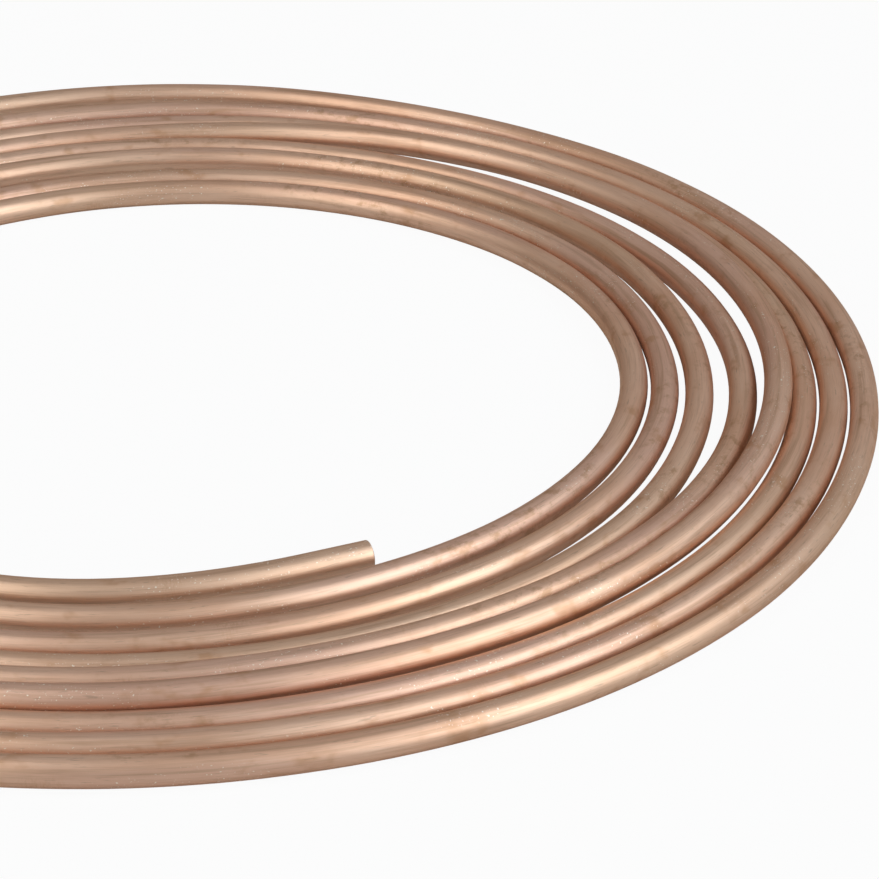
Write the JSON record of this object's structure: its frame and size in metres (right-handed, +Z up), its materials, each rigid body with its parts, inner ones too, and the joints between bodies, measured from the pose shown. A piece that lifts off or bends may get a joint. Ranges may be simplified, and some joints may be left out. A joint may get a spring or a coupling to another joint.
{
  "type": "brake line coil",
  "caption": "Loose flat coil of bare copper-nickel brake pipe, one tube wound in a spiral with two square-cut ends.",
  "frame": {"origin": "on the floor under the middle of the coil's outermost turn", "axes": "+Z up, out of the flat side of the coil; -Y towards the side where the inner end lies"},
  "size_m": [0.2477, 0.2587, 0.0076],
  "materials": {
    "copper_nickel": "satin drawn tube"
  },
  "bodies": {
    "root": {"brake_pipe": "copper_nickel"}
  },
  "joints": []
}
